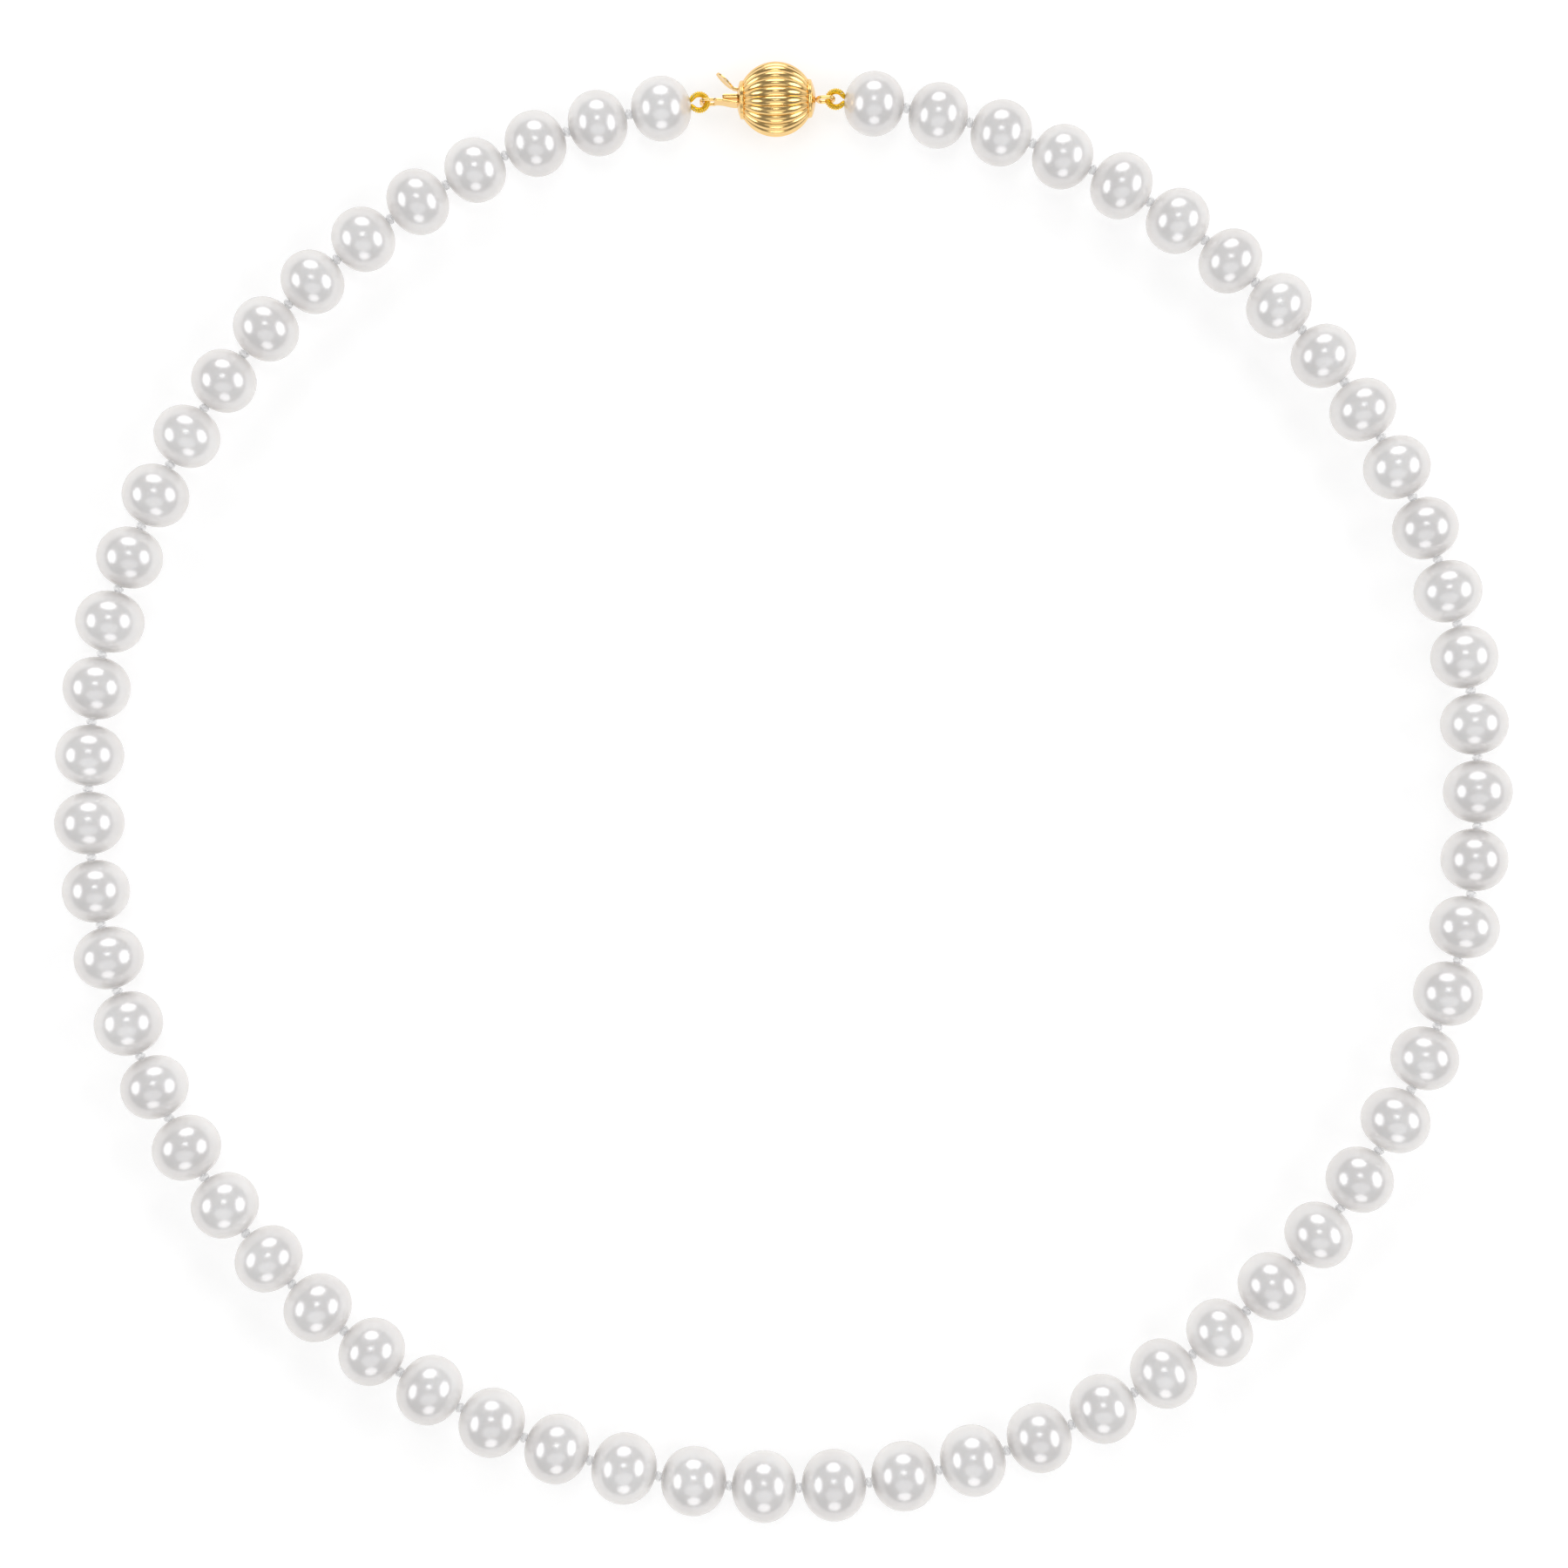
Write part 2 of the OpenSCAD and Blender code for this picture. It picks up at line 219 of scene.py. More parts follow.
def carried(path, up, outline, closed=False):
    """An outline carried along a path. outline holds (across, height) for each place round it,
    either once or for each point of the path; across runs sideways from the path and height along
    up, made square to the path."""
    path = np.asarray(path, float)
    if closed:
        way = unit(np.roll(path, -1, 0) - np.roll(path, 1, 0))
    else:
        way = unit(np.gradient(path, axis=0))
    side = unit(np.cross(way, np.broadcast_to(up, path.shape)))
    top = np.cross(side, way)
    outline = np.broadcast_to(outline, (len(path),) + np.shape(outline)[-2:])
    return path[:, None] + outline[..., :1] * side[:, None] + outline[..., 1:] * top[:, None]


def circle(radius, count):
    """Points of a circle as (across, height)."""
    turn = np.arange(count) * 2 * pi / count
    return radius * np.stack([np.cos(turn), np.sin(turn)], axis=-1)


def softened_box(width, height, softness=0.3, count=28):
    """A rectangle with rounded corners: cosine and sine each raised to a small power. width may be
    an array, which gives one outline for each of its values."""
    turn = (np.arange(count) + 0.5) * 2 * pi / count
    across = np.sign(np.cos(turn)) * abs(np.cos(turn)) ** softness
    rise = np.sign(np.sin(turn)) * abs(np.sin(turn)) ** softness
    width, height = np.broadcast_arrays(np.asarray(width, float)[..., None], height)
    return np.stack([width / 2 * across, height / 2 * rise], axis=-1)


def smooth_path(knees, step):
    """Evenly spaced points on a Catmull-Rom curve through the knees."""
    knees = np.asarray(knees, float)
    ends = np.concatenate([2 * knees[:1] - knees[1:2], knees, 2 * knees[-1:] - knees[-2:-1]])
    t = np.linspace(0, 1, 24, endpoint=False)[:, None]
    spans = []
    for a, b, c, d in zip(ends, ends[1:], ends[2:], ends[3:]):
        spans.append(0.5 * (2 * b + (c - a) * t + (2 * a - 5 * b + 4 * c - d) * t ** 2
                            + (3 * b - a - 3 * c + d) * t ** 3))
    dense = np.concatenate(spans + [knees[-1:]])
    return even_path(dense, step)


def reach_along(points):
    """How far along its line each point is from the first."""
    return np.concatenate([[0], np.cumsum(np.linalg.norm(np.diff(points, axis=0), axis=1))])


def even_path(points, step):
    """The same line with its points step apart."""
    reach = reach_along(points)
    at = np.linspace(0, reach[-1], max(2, int(round(reach[-1] / step)) + 1))
    return np.stack([np.interp(at, reach, points[:, i]) for i in range(3)], axis=-1)


def arc(centre, radius, start, stop, count):
    """Points of an arc about a centre, as rows of two; start and stop are in degrees."""
    turn = np.radians(np.linspace(start, stop, count))
    return np.stack([centre[0] + radius * np.cos(turn), centre[1] + radius * np.sin(turn)], axis=-1)


def piece(name, shapes, material, body, slot, *nodes):
    """One finished object from one or more (corners, faces): doubles merged, normals outward,
    smooth where the surface is smooth. It rides on the body and stands for the nodes. slot is
    not used."""
    corners, faces, start = [], [], 0
    for points, polygons in shapes:
        corners.append(points)
        faces += [[i + start for i in polygon] for polygon in polygons]
        start += len(points)
    mesh = bpy.data.meshes.new(name)
    mesh.from_pydata(np.concatenate(corners).tolist(), [], faces)
    tidy_normals(mesh)
    obj = bpy.data.objects.new(name, mesh)
    bpy.context.scene.collection.objects.link(obj)
    mesh.materials.append(material)
    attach(obj, body)
    for node in nodes:
        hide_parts(node)
    return obj


def tidy_normals(mesh, sharp=50):
    """Merges doubles, turns every face outward, and keeps edges over sharp degrees crisp."""
    work = bmesh.new()
    work.from_mesh(mesh)
    bmesh.ops.remove_doubles(work, verts=work.verts, dist=1e-7)
    bmesh.ops.recalc_face_normals(work, faces=work.faces)
    work.to_mesh(mesh)
    work.free()
    mesh.shade_smooth()
    mesh.set_sharp_from_angle(angle=radians(sharp))


# ---------------------------------------------------------------- materials

def add(material, kind, links=(), **values):
    """Adds a node to a material. values are its own or its inputs' by name, with _ for a space, and
    links are (input, source node, output) rows."""
    node = material.node_tree.nodes.new(kind)
    for name, value in values.items():
        socket = name.replace("_", " ")
        if hasattr(node, name):
            setattr(node, name, value)
        elif socket in node.inputs:
            node.inputs[socket].default_value = value
        else:
            raise KeyError(f"{kind} has no {name}")
    for into, source, output in links:
        material.node_tree.links.new(source.outputs[output], node.inputs[into])
    return node


def new_material(name):
    """An empty node material with its output."""
    material = bpy.data.materials.new(name)
    material.use_nodes = True
    material.node_tree.nodes.clear()
    return material, add(material, "ShaderNodeOutputMaterial")


def shown(material, output, shader):
    """The material with that shader on its output."""
    material.node_tree.links.new(shader.outputs[0], output.inputs["Surface"])
    return material


def solid(colour):
    """RGBA of an RGB triple."""
    return (*tuple(colour)[:3], 1.0)


def nacre(own):
    """Cultured pearl nacre, grown in layers of aragonite and polished: white, with a soft depth
    under a clear gloss, a faint film colour, cloudy patches 5 mm wide and growth marks of 0.9
    mm."""
    material, output = new_material("nacre")
    place = add(material, "ShaderNodeTexCoord")
    clouds = add(material, "ShaderNodeTexNoise", [("Vector", place, "Object")],
                 Scale=1 / (5 * MM), Detail=2.0, Roughness=0.5)
    body = add(material, "ShaderNodeValToRGB", [("Fac", clouds, "Fac")])
    body.color_ramp.elements[0].position = 0.35
    body.color_ramp.elements[0].color = solid(own.shade)
    body.color_ramp.elements[1].position = 0.65
    body.color_ramp.elements[1].color = solid(own.colour)
    growth = add(material, "ShaderNodeTexNoise", [("Vector", place, "Object")],
                 Scale=1 / (0.9 * MM), Detail=3.0, Roughness=0.55)
    relief = add(material, "ShaderNodeBump", [("Height", growth, "Fac")],
                 Strength=0.05, Distance=0.05 * MM)
    shader = add(material, "ShaderNodeBsdfPrincipled",
                 [("Base Color", body, "Color"), ("Normal", relief, "Normal")],
                 Roughness=0.3, IOR=1.6, Subsurface_Weight=0.15, Subsurface_Radius=(1, 0.9, 0.8),
                 Subsurface_Scale=0.6 * MM, Coat_Weight=1.0, Coat_Roughness=0.21, Coat_IOR=2.4,
                 Thin_Film_Thickness=own.film, Thin_Film_IOR=1.33)
    return shown(material, output, shader)


def filament_silk(own):
    """Filament silk thread, plied and knotted by hand: white, with a soft sheen, a fibre grain of
    0.06 mm, which is coarser than silk's own so that it shows, and a painted glow: a white emission
    that lightens the silk where the pearls shade it."""
    material, output = new_material("filament_silk")
    place = add(material, "ShaderNodeTexCoord")
    fibres = add(material, "ShaderNodeTexNoise", [("Vector", place, "Object")],
                 Scale=1 / (0.06 * MM), Detail=2.0, Roughness=0.6)
    tone = add(material, "ShaderNodeValToRGB", [("Fac", fibres, "Fac")])
    tone.color_ramp.elements[0].position = 0.3
    tone.color_ramp.elements[0].color = solid(own.shade)
    tone.color_ramp.elements[1].position = 0.6
    tone.color_ramp.elements[1].color = solid(own.colour)
    relief = add(material, "ShaderNodeBump", [("Height", fibres, "Fac")],
                 Strength=0.35, Distance=0.02 * MM)
    # The emission is a painted glow that lightens the silk where the pearls shade it.
    shader = add(material, "ShaderNodeBsdfPrincipled",
                 [("Base Color", tone, "Color"), ("Normal", relief, "Normal")],
                 Roughness=0.5, IOR=1.54, Subsurface_Weight=1.0, Subsurface_Radius=(1, 1, 1),
                 Subsurface_Scale=0.7 * MM, Sheen_Weight=0.8, Sheen_Roughness=0.5,
                 Emission_Color=(1, 1, 1, 1), Emission_Strength=own.glow)
    return shown(material, output, shader)


def yellow_gold(name, colour, worn, roughness):
    """Yellow gold, stamped or drawn and polished: a bright mirror with hairlines 0.12 mm apart and
    slightly duller patches of 1.6 mm."""
    material, output = new_material(name)
    place = add(material, "ShaderNodeTexCoord")
    patches = add(material, "ShaderNodeTexNoise", [("Vector", place, "Object")],
                  Scale=1 / (1.6 * MM), Detail=3.0, Roughness=0.6)
    # The colours of a Mix node are its inputs 6 and 7, and the mixed one is its output 2.
    tone = add(material, "ShaderNodeMix", [("Factor", patches, "Fac")], data_type="RGBA")
    tone.inputs[6].default_value = solid(worn)
    tone.inputs[7].default_value = solid(colour)
    polish = add(material, "ShaderNodeMapRange", [("Value", patches, "Fac")],
                 To_Min=roughness * 0.7, To_Max=roughness * 1.5)
    hairlines = add(material, "ShaderNodeTexNoise", [("Vector", place, "Object")],
                    Scale=1 / (0.12 * MM), Detail=2.0, Roughness=0.5)
    relief = add(material, "ShaderNodeBump", [("Height", hairlines, "Fac")],
                 Strength=0.06, Distance=0.01 * MM)
    shader = add(material, "ShaderNodeBsdfPrincipled",
                 [("Base Color", tone, 2), ("Roughness", polish, "Result"),
                  ("Normal", relief, "Normal")], Metallic=1.0)
    return shown(material, output, shader)


def studio_white(colour, glow):
    """Matt white studio board: it gives back much of the light that falls on it, and some of its
    own."""
    material, output = new_material("studio_white")
    shader = add(material, "ShaderNodeBsdfPrincipled", Base_Color=solid(colour), Roughness=0.9,
                 Specular_IOR_Level=0.0, Emission_Color=(1, 1, 1, 1), Emission_Strength=glow)
    return shown(material, output, shader)


# ---------------------------------------------------------------- settings

def length(name, description, millimetres):
    """A length setting that is given in millimetres."""
    return FloatProperty(name=name, description=description, default=millimetres * MM, min=0.0,
                         precision=6, subtype="DISTANCE", unit="LENGTH")


def number(name, description, default, top):
    """A plain number setting from 0 to top."""
    return FloatProperty(name=name, description=description, default=default, min=0.0, max=top)


def colour(name, description, hex_colour):
    """A colour setting from its hex value."""
    return FloatVectorProperty(name=name, description=description, default=linear(hex_colour),
                               min=0.0, max=1.0, subtype="COLOR")


class PearlSettings(PropertyGroup):
    """The pearls."""
    bore: length("Drill hole", "Diameter of the hole through each pearl", 0.9)
    fullness: number("Fullness", "Power of the curve from the widest place to the hole", 2.06, 2.6)
    off_round: number("Off round", "Largest share by which a pearl leaves its round", 0.012, 0.05)
    film: number("Film", "Thickness of the film that tints the gloss, in nanometres", 110.0, 1000.0)
    colour: colour("Colour", "Body colour", "#E3E2E1")
    shade: colour("Shade", "Body colour of the thinner patches", "#DAD8D7")


class SilkSettings(PropertyGroup):
    """The silk."""
    thread: length("Thread", "Diameter of the plied thread", 0.62)
    strand: length("Strand", "Diameter of each strand of the loop at the clasp", 0.32)
    lay: length("Lay", "Length along the thread of one turn of the ply", 0.8)
    knot: length("Knot", "Width of a knot", 1.2)
    # glow is a painted glow: a white emission that lightens the silk where the pearls shade it.
    glow: number("Glow", "Light that the silk's painted_glow gives back", 0.12, 1.0)
    colour: colour("Colour", "Colour of the silk", "#FFFFFF")
    shade: colour("Shade", "Colour between its fibres", "#F8F8FC")


class FrenchWireSettings(PropertyGroup):
    """The coiled wire over the silk's loops."""
    loop: length("Loop", "Diameter of the circle that the coil follows", 1.68)
    coil: length("Coil", "Outer diameter of the coil", 0.66)
    wire: length("Wire", "Diameter of the wire", 0.17)
    end: length("End", "Outer diameter of the coil where it meets the pearl", 0.42)
    shift: length("Shift", "How far the loop's middle is beyond the eye", 0.25)
    opening: FloatProperty(name="Opening", description="Half the angle left open toward the pearl",
                           default=radians(44), min=0.0, max=pi / 2, subtype="ANGLE")
    colour: colour("Colour", "Colour of the gilt wire", "#FFE04A")
    worn: colour("Worn colour", "Colour of its duller places", "#F8C92C")


class ClaspSettings(PropertyGroup):
    """The ball clasp and its tongue."""
    flutes: IntProperty(name="Flutes", description="Flutes round the ball", default=22, min=8,
                        max=40)
    flute_depth: length("Flute depth", "Depth of a flute at the ball's waist", 0.26)
    wall: length("Wall", "Wall of the ball", 0.35)
    ring_wire: length("Ring wire", "Wire of the ring on the ball", 0.4)
    tongue: length("Tongue", "Thickness of the tongue", 0.3)
    tongue_width: length("Tongue width", "Width of the tongue and of its leaf", 1.5)
    leaf: length("Leaf", "Thickness of the spring leaf and the thumb tab", 0.25)
    neck: length("Neck", "Width of the thumb tab's neck", 0.6)
    tab: length("Thumb tab", "Width of the thumb tab", 1.7)
    hook: length("Hook", "Thickness of the safety hook", 0.22)
    colour: colour("Colour", "Colour of the polished gold", "#FBD894")
    worn: colour("Worn colour", "Colour of its duller places", "#F2C67E")


class StageSettings(PropertyGroup):
    """The floor, the lights and the camera."""
    floor: colour("Floor", "Colour of the floor", "#BCBCBC")
    surround: colour("Surround", "Colour of the room round the lights", "#8A8A8A")
    glow: number("Glow", "Light that the floor gives of its own", 0.58, 2.0)
    key: number("Key", "Radiance of the brightest softboxes", 3.1, 20.0)
    span: length("Span", "Width that the camera takes in", 164.2)
    roll: FloatProperty(name="Roll", description="Turn of the camera about its line of sight",
                        default=radians(-1.3), subtype="ANGLE")


SETTINGS = {"pearls": PearlSettings, "silk": SilkSettings, "french_wire": FrenchWireSettings,
            "clasp": ClaspSettings, "stage": StageSettings}


def settings(name):
    """One group of the necklace's settings."""
    return getattr(bpy.context.scene, f"necklace_{name}")


# ---------------------------------------------------------------- pearls

def pearl_shape(pearl, own, draw):
    """A drilled pearl: the rim of a super-ellipse from mouth to mouth, turned round the hole, and
    the hole's wall back again. Two and three slow waves round it, and one along it, take it a
    little off round, always inward."""
    bore = own.bore / 2
    reach = pearl.half / (1 - (bore / pearl.radius) ** own.fullness) ** (1 / own.fullness)
    turn = np.linspace(0.001, pi - 0.001, 43)
    along = np.sign(np.cos(turn)) * abs(np.cos(turn)) ** (2 / own.fullness) * reach
    out = np.sin(turn) ** (2 / own.fullness) * pearl.radius
    skin = out > bore * 1.25
    lip = bore * np.array([1.22, 1.1, 1.02, 1.0])
    lip_along = pearl.half - bore * np.array([0.0, 0.02, 0.12, 0.3])
    wall = np.linspace(0.8, -0.8, 7) * pearl.half
    profile_along = np.concatenate([lip_along[::-1], along[skin], -lip_along, -wall])
    profile_out = np.concatenate([lip[::-1], out[skin], lip, np.full(len(wall), bore)])
    columns = 48
    around = np.linspace(0, 2 * pi, columns, endpoint=False)
    phases = draw.uniform(0, 2 * pi, 4)
    waves = (np.cos(2 * around + phases[0]) + 0.5 * np.cos(3 * around + phases[1]) - 1.5) / 3
    swell = np.clip(profile_out / pearl.radius, 0, 1) ** 2
    tilt = np.cos(around + phases[2]) * 0.35
    swing = np.sin(profile_along[:, None] / pearl.half * pi + phases[3])
    lean = (swing * tilt - 0.35) / 2
    shrink = 1 + own.off_round * swell[:, None] * (waves + lean)
    out_grid = profile_out[:, None] * shrink
    points = (pearl.centre + profile_along[:, None, None] * pearl.way
              + (out_grid * np.cos(around))[..., None] * beside(pearl.way)
              + (out_grid * np.sin(around))[..., None] * np.array([0, 0, 1.0]))
    return grid(points, around=True, along=True)


class NECKLACE_OT_pearls(Operator):
    """Makes every pearl of the strand"""
    bl_idname = "necklace.pearls"
    bl_label = "Pearls"

    def execute(self, context):
        own = settings("pearls")
        material = nacre(own)
        draw = np.random.default_rng(SEED)
        for side in SIDES:
            for k, pearl in enumerate(STRAND[side], 1):
                body = body_of_pearl(side, k)
                piece(f"pearl_{side}_{k:02d}", [pearl_shape(pearl, own, draw)], material, body,
                      "pearl", f"pearls_{body}")
        return {"FINISHED"}


# ---------------------------------------------------------------- silk

SILK_ROOM = 0.06 * MM  # free room between the silk and the hole, and between two threads' ends
SILK_STUB = 0.16 * MM  # length of a thread's end inside the next row's hole
LOOP_LAP = 0.5 * MM    # depth in the hole at which the loop's two strands join the thread


def plied(path, diameter, lay, count=14):
    """A two-ply thread along a path: a circle with two lobes that turn once in each lay."""
    turn = np.arange(count) * 2 * pi / count
    reach = reach_along(path)
    lobes = 1 - 0.22 * (1 - abs(np.cos(turn - reach[:, None] * pi / lay)))
    outline = diameter / 2 * lobes[..., None] * np.stack([np.cos(turn), np.sin(turn)], axis=-1)
    return grid(carried(path, (0, 0, 1), outline), ends=True)


def knot_shape(centre, way, gap, own, start):
    """An overhand knot drawn tight: a thread along the curve that goes twice round the strand, from
    the angle start, while it goes three times round its own ring, squeezed into the gap between two
    pearls."""
    yarn = own.knot * 0.18
    wander = min(own.knot * 0.12, gap / 2 - yarn)
    ring = own.knot / 2 - yarn - wander
    t = np.linspace(0, 2 * pi, 84, endpoint=False)
    out = ring + wander * np.cos(3 * t)
    angle = (2 * t + start)[:, None]
    radial = np.cos(angle) * beside(way) + np.sin(angle) * np.array([0, 0, 1.0])
    path = centre + out[:, None] * radial + (wander * np.sin(3 * t))[:, None] * way
    spin = np.arange(12) * 2 * pi / 12
    lobes = 1 - 0.2 * (1 - abs(np.cos(spin - 9 * t[:, None])))
    outline = yarn * lobes[..., None] * np.stack([np.cos(spin), np.sin(spin)], axis=-1)
    return grid(carried(path, way, outline, closed=True), along=True)


def mouths(side, k):
    """The facing hole mouths of pearl k and the next one away from the clasp, which is the other
    side's last pearl at the middle of the strand."""
    near = STRAND[side][k - 1]
    if k < len(STRAND[side]):
        far = STRAND[side][k]
        return near.at(-near.half), far.at(far.half)
    other = STRAND["left" if side == "right" else "right"][k - 1]
    return near.at(-near.half), other.at(-other.half)


def knot_between(side, k, own):
    """The knot on the far side of pearl k."""
    a, b = mouths(side, k)
    return knot_shape((a + b) / 2, unit(a - b), np.linalg.norm(a - b), own, 2.4 * k)


def thread_line(side, first, last, start, stop):
    """Points of the silk from pearl `last` to pearl `first`. start and stop are where in those two
    pearls' holes it begins and ends, measured from their middles toward the clasp."""
    line = []
    for k in range(last, first - 1, -1):
        pearl = STRAND[side][k - 1]
        line += [pearl.at(start if k == last else -pearl.half),
                 pearl.at(stop if k == first else pearl.half)]
    return even_path(np.array(line), 0.1 * MM)


def gimp_frame(side):
    """The middle of a French wire's loop, and the flat directions toward its pearl and across."""
    shift = settings("french_wire").shift * (1 if side == "right" else -1)
    middle = EYES[side] + np.array([shift, 0, 0])
    pearl = STRAND[side][0]
    toward = pearl.at(pearl.half) - middle
    toward = unit(toward * np.array([1, 1, 0]))
    return middle, toward, beside(toward)


def loop_line(side, own, wire):
    """The loop's middle line, from one half of the first pearl's mouth, round the eye, to the
    mouth's other half, and the two points inside the hole where the strands come together."""
    middle, toward, across = gimp_frame(side)
    pearl = STRAND[side][0]
    turn = np.linspace(wire.opening, 2 * pi - wire.opening, 40)[:, None]
    ring = middle + wire.loop / 2 * (np.cos(turn) * toward + np.sin(turn) * across)
    spread = (settings("pearls").bore - own.strand) / 2 - SILK_ROOM
    hand = 1 if (pearl.at(0, 1.0) - pearl.centre) @ across > 0 else -1
    enters = [pearl.at(pearl.half, way * spread) for way in (hand, -hand)]
    joins = [pearl.at(pearl.half - LOOP_LAP, way * own.strand * 0.52) for way in (hand, -hand)]
    return np.concatenate([enters[:1], ring, enters[1:]]), joins


def silk_loop(side, own, wire):
    """The two strands of the silk: out of the first pearl's hole, round inside the French wire, and
    back in."""
    line, joins = loop_line(side, own, wire)
    line = smooth_path(np.concatenate([joins[:1], line, joins[1:]]), 0.06 * MM)
    return plied(line, own.strand, own.lay * 0.6, count=10)


class NECKLACE_OT_silk(Operator):
    """Makes the knotted silk, one piece for each row of pearls"""
    bl_idname = "necklace.silk"
    bl_label = "Silk"

    def execute(self, context):
        own = settings("silk")
        wire = settings("french_wire")
        material = filament_silk(own)
        for side in SIDES:
            for row in range(1, ROWS + 1):
                first, last = ROW_PEARLS * (row - 1) + 1, ROW_PEARLS * row
                far = STRAND[side][last - 1]
                start = -far.half + SILK_STUB + SILK_ROOM
                if row == 1:
                    near = STRAND[side][0]
                    line = thread_line(side, 1, last, start, near.half - LOOP_LAP)
                    shapes = [silk_loop(side, own, wire)]
                else:
                    near = STRAND[side][first - 2]
                    line = thread_line(side, first - 1, last, start, -near.half + SILK_STUB)
                    shapes = []
                shapes.append(plied(line, own.thread, own.lay))
                shapes += [knot_between(side, k, own) for k in range(max(first - 1, 1), last)]
                piece(f"silk_{side}_{row:02d}", shapes, material, f"{side}_{row}", "silk",
                      f"silk_{side}_{row}")
        middle = len(STRAND["right"])
        shapes = [knot_between("right", middle, own)]
        for side in SIDES:
            near = STRAND[side][middle - 2]
            inner = STRAND[side][middle - 1]
            reach = np.linalg.norm(np.subtract(*mouths(side, middle))) / 2
            line = thread_line(side, middle - 1, middle, -inner.half - reach,
                               -near.half + SILK_STUB)
            shapes += [plied(line, own.thread, own.lay), knot_between(side, middle - 1, own)]
        piece("silk_middle", shapes, material, "centre", "silk", "silk_centre")
        return {"FINISHED"}


# ---------------------------------------------------------------- French wire

class NECKLACE_OT_french_wire(Operator):
    """Makes the coiled wire over the silk's two loops"""
    bl_idname = "necklace.french_wire"
    bl_label = "French wire"

    def execute(self, context):
        """A wire wound round the silk's loop: each turn goes once round the loop's line while it
        moves on by a little more than the wire's thickness, and the coil narrows toward the pearl's
        mouth."""
        own = settings("french_wire")
        material = yellow_gold("gilt_wire", own.colour, own.worn, 0.2)
        narrowing = 1.1 * MM
        for side in SIDES:
            line, _ = loop_line(side, settings("silk"), own)
            line = smooth_path(line, own.wire / 20)
            reach = reach_along(line)
            from_end = np.minimum(reach, reach[-1] - reach) / narrowing
            coil = own.end + (own.coil - own.end) * np.clip(from_end, 0, 1) ** 0.6
            way = unit(np.gradient(line, axis=0))
            sideways = unit(np.cross(way, (0, 0, 1)))
            spin = (reach * 2 * pi / (own.wire * 1.06))[:, None]
            radial = np.cos(spin) * sideways + np.sin(spin) * np.cross(sideways, way)
            path = line + (coil - own.wire)[:, None] / 2 * radial
            shape = grid(carried(path, radial, circle(own.wire / 2, 8)), ends=True)
            piece(f"french_wire_{side}", [shape], material, f"{side}_1", "french_wire",
                  f"french_wire_{side}")
        return {"FINISHED"}


# ---------------------------------------------------------------- ball

def turned(profile, node):
    """A profile of (x, radius) rows in the clasp's frame, turned round the ball's own axis."""
    low, high = clasp_box(node)
    y = (low[1] + high[1]) / 2
    around = np.linspace(0, 2 * pi, 72, endpoint=False)
    x, radius = profile[:, :1], profile[:, 1:]
    return clasp(x, y + radius * np.cos(around), radius * np.sin(around))


def fluted_shell(own):
    """A hollow ball between its two open ends: outside, a sphere whose radius dips between rounded
    ribs like a cosine to a small power; inside, a plain sphere."""
    low, high = clasp_box("fluted_ball")
    radius, half = (high[2] - low[2]) / 2, (high[0] - low[0]) / 2
    centre = (low + high) / 2
    lean = np.linspace(-1, 1, 49) * np.arcsin(half / radius)
    inner = radius - own.wall - own.flute_depth
    inside_rows = 21
    back = np.linspace(1, -1, inside_rows) * np.arcsin(min(half / inner, 0.985))
    around = np.linspace(0, 2 * pi, own.flutes * 14, endpoint=False)
    rib = abs(np.cos(around * own.flutes / 2)) ** 0.75
    depth = own.flute_depth * (0.35 + 0.65 * np.cos(lean))
    out = radius * np.cos(lean)[:, None] - depth[:, None] * (1 - rib)
    inside = np.broadcast_to(inner * np.cos(back)[:, None], (inside_rows, len(around)))
    r = np.concatenate([out, inside])
    x = np.concatenate([radius * np.sin(lean), inner * np.sin(back)])[:, None] + centre[0]
    return grid(clasp(x, centre[1] + r * np.cos(around), r * np.sin(around)), along=True)


def cap_profile(node, outward):
    """(x, radius) round a domed cap: a flat spigot inside, a rounded rim, and a low dome outside
    that falls as the square of the radius and ends in a small flat."""
    low, high = clasp_box(node)
    rim_radius = (high[2] - low[2]) / 2
    spigot, spigot_radius, centre_hole = 0.32 * MM, 1.6 * MM, 0.02 * MM
    seat = low[0] + spigot if outward > 0 else high[0] - spigot
    pole = high[0] if outward > 0 else low[0]
    height = abs(pole - seat)
    edge = 0.3 * MM
    bend = np.radians(np.linspace(-90, 60, 9))
    rim = np.stack([edge / 2 * (1 + np.sin(bend)), rim_radius + edge / 2 * (np.cos(bend) - 1)], -1)
    sweep = np.linspace(rim[-1, 1], 0.28 * MM, 14)
    top = rim[-1, 0] + (height - rim[-1, 0]) * (1 - (sweep / rim[-1, 1]) ** 2)
    dome = np.stack([top, sweep], -1)[1:]
    inner = np.array([[-spigot, centre_hole], [-spigot, spigot_radius],
                      [-0.02 * MM, spigot_radius + 0.05 * MM]])
    rows = np.concatenate([inner, rim, dome, [[height, centre_hole]]])
    return np.stack([seat + outward * rows[:, 0], rows[:, 1]], -1)


def cut_slot(obj, cutter):
    """Cuts one piece with another and drops the cutter."""
    knife = obj.modifiers.new("slot", "BOOLEAN")
    knife.operation = "DIFFERENCE"
    knife.solver = "EXACT"
    knife.object = cutter
    cut = bpy.data.meshes.new_from_object(obj.evaluated_get(bpy.context.evaluated_depsgraph_get()))
    obj.modifiers.clear()
    old, obj.data = obj.data, cut
    bpy.data.meshes.remove(old)
    bpy.data.objects.remove(cutter)
    tidy_normals(obj.data, 35)


